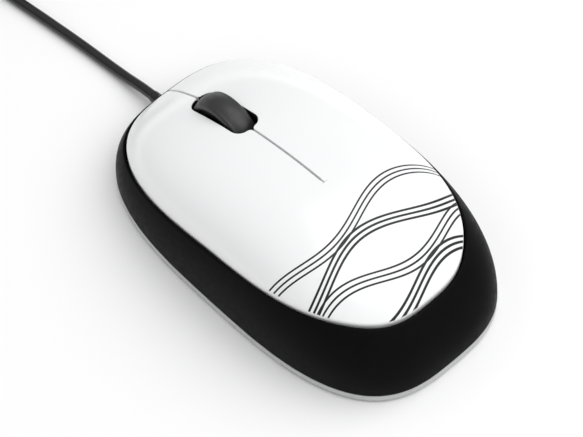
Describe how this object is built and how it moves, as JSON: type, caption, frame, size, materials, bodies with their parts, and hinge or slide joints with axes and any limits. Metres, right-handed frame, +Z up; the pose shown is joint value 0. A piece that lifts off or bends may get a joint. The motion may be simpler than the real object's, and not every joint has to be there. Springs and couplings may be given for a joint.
{
  "type": "computer mouse",
  "caption": "Corded optical computer mouse with a white flexing top split into two buttons, a scroll wheel, a black side band, a grey base and a coiled cord with a plug.",
  "frame": {"origin": "on the desk under the middle of the body, measured without the cord", "axes": "+Y towards the wheel and the cord, +X to the user's right, +Z up"},
  "size_m": [0.0622, 0.2233, 0.0312],
  "materials": {
    "cover": null,
    "band": "black, fine satin texture",
    "base": "light grey, satin",
    "feet": "dark low-friction film",
    "label": "blank film label",
    "board": "green solder mask",
    "chip": "black moulded package",
    "lens": "clear moulded plastic",
    "lamp": "red clear plastic",
    "inner_black": "black moulded",
    "inner_white": "natural white moulded",
    "wire": "black sleeve",
    "capacitor_sleeve": "blue sleeve",
    "screw": "zinc plated",
    "cord": "black satin jacket",
    "tie": "black strap",
    "plug_body": "black moulded grip",
    "plug_metal": "nickel plated",
    "tyre_rubber": "dark satin rubber"
  },
  "bodies": {
    "casing": {"base_plate": "base", "front_foot": "feet", "rear_foot": "feet", "blank_label": "label", "side_band": "band", "palm_cover": "cover", "circuit_board": "board", "optical_sensor": "chip", "sensor_lens": "lens", "led": "lamp", "led_clip": "inner_black", "left_switch": "inner_black", "right_switch": "inner_black", "wheel_switch": "inner_black", "wheel_light_emitter": "lens", "wheel_light_detector": "inner_black", "cable_header": "inner_white", "inner_leads": "wire", "capacitor": "capacitor_sleeve", "controller_chip": "chip", "left_case_screw": "screw", "right_case_screw": "screw", "left_board_screw": "screw", "right_board_screw": "screw", "strain_relief": "cord", "cable_run": "cord", "cable_coil": "cord", "cable_tail": "cord", "cable_tie": "tie", "plug_boot": "cord", "plug_grip": "plug_body", "plug_shell": "plug_metal", "plug_tongue": "inner_white"},
    "left_button": {"left_button": "cover"},
    "right_button": {"right_button": "cover"},
    "left_switch_plunger": {"left_switch_plunger": "inner_white"},
    "right_switch_plunger": {"right_switch_plunger": "inner_white"},
    "wheel_carrier": {"wheel_carrier": "inner_black"},
    "wheel": {"wheel_hub": "inner_black", "wheel_tyre": "tyre_rubber"},
    "wheel_switch_plunger": {"wheel_switch_plunger": "inner_white"}
  },
  "joints": [
    {"name": "left_button_press", "type": "hinge", "parent": "casing", "child": "left_button", "pos_m": [-0.01535, -0.0083, 0.02911], "axis": [-1, 0, 0], "range_deg": [0, 0.8], "stiffness_Nm_per_rad": 1.8, "springref_deg": -0.11},
    {"name": "left_switch_press", "type": "slide", "parent": "casing", "child": "left_switch_plunger", "axis": [0, 0, 1], "range_m": [-0.0007, 0]},
    {"name": "right_button_press", "type": "hinge", "parent": "casing", "child": "right_button", "pos_m": [0.01535, -0.0083, 0.02911], "axis": [-1, 0, 0], "range_deg": [0, 0.8], "stiffness_Nm_per_rad": 1.8, "springref_deg": -0.11},
    {"name": "right_switch_press", "type": "slide", "parent": "casing", "child": "right_switch_plunger", "axis": [0, 0, 1], "range_m": [-0.0007, 0]},
    {"name": "wheel_click", "type": "hinge", "parent": "casing", "child": "wheel_carrier", "pos_m": [0, 0.0409, 0.0111], "axis": [1, 0, 0], "range_deg": [0, 1.3], "stiffness_Nm_per_rad": 0.65, "springref_deg": -0.17},
    {"name": "wheel_switch_press", "type": "slide", "parent": "casing", "child": "wheel_switch_plunger", "axis": [0, 0, 1], "range_m": [-0.0007, 0]},
    {"name": "wheel_spin", "type": "hinge", "parent": "wheel_carrier", "child": "wheel", "pos_m": [0, 0.0265, 0.0176], "axis": [1, 0, 0], "continuous": true}
  ],
  "couplings": [
    {"joint": "left_switch_press", "follows": "left_button_press", "m_per_rad": -0.042},
    {"joint": "right_switch_press", "follows": "right_button_press", "m_per_rad": -0.042},
    {"joint": "wheel_switch_press", "follows": "wheel_click", "m_per_rad": -0.024}
  ]
}
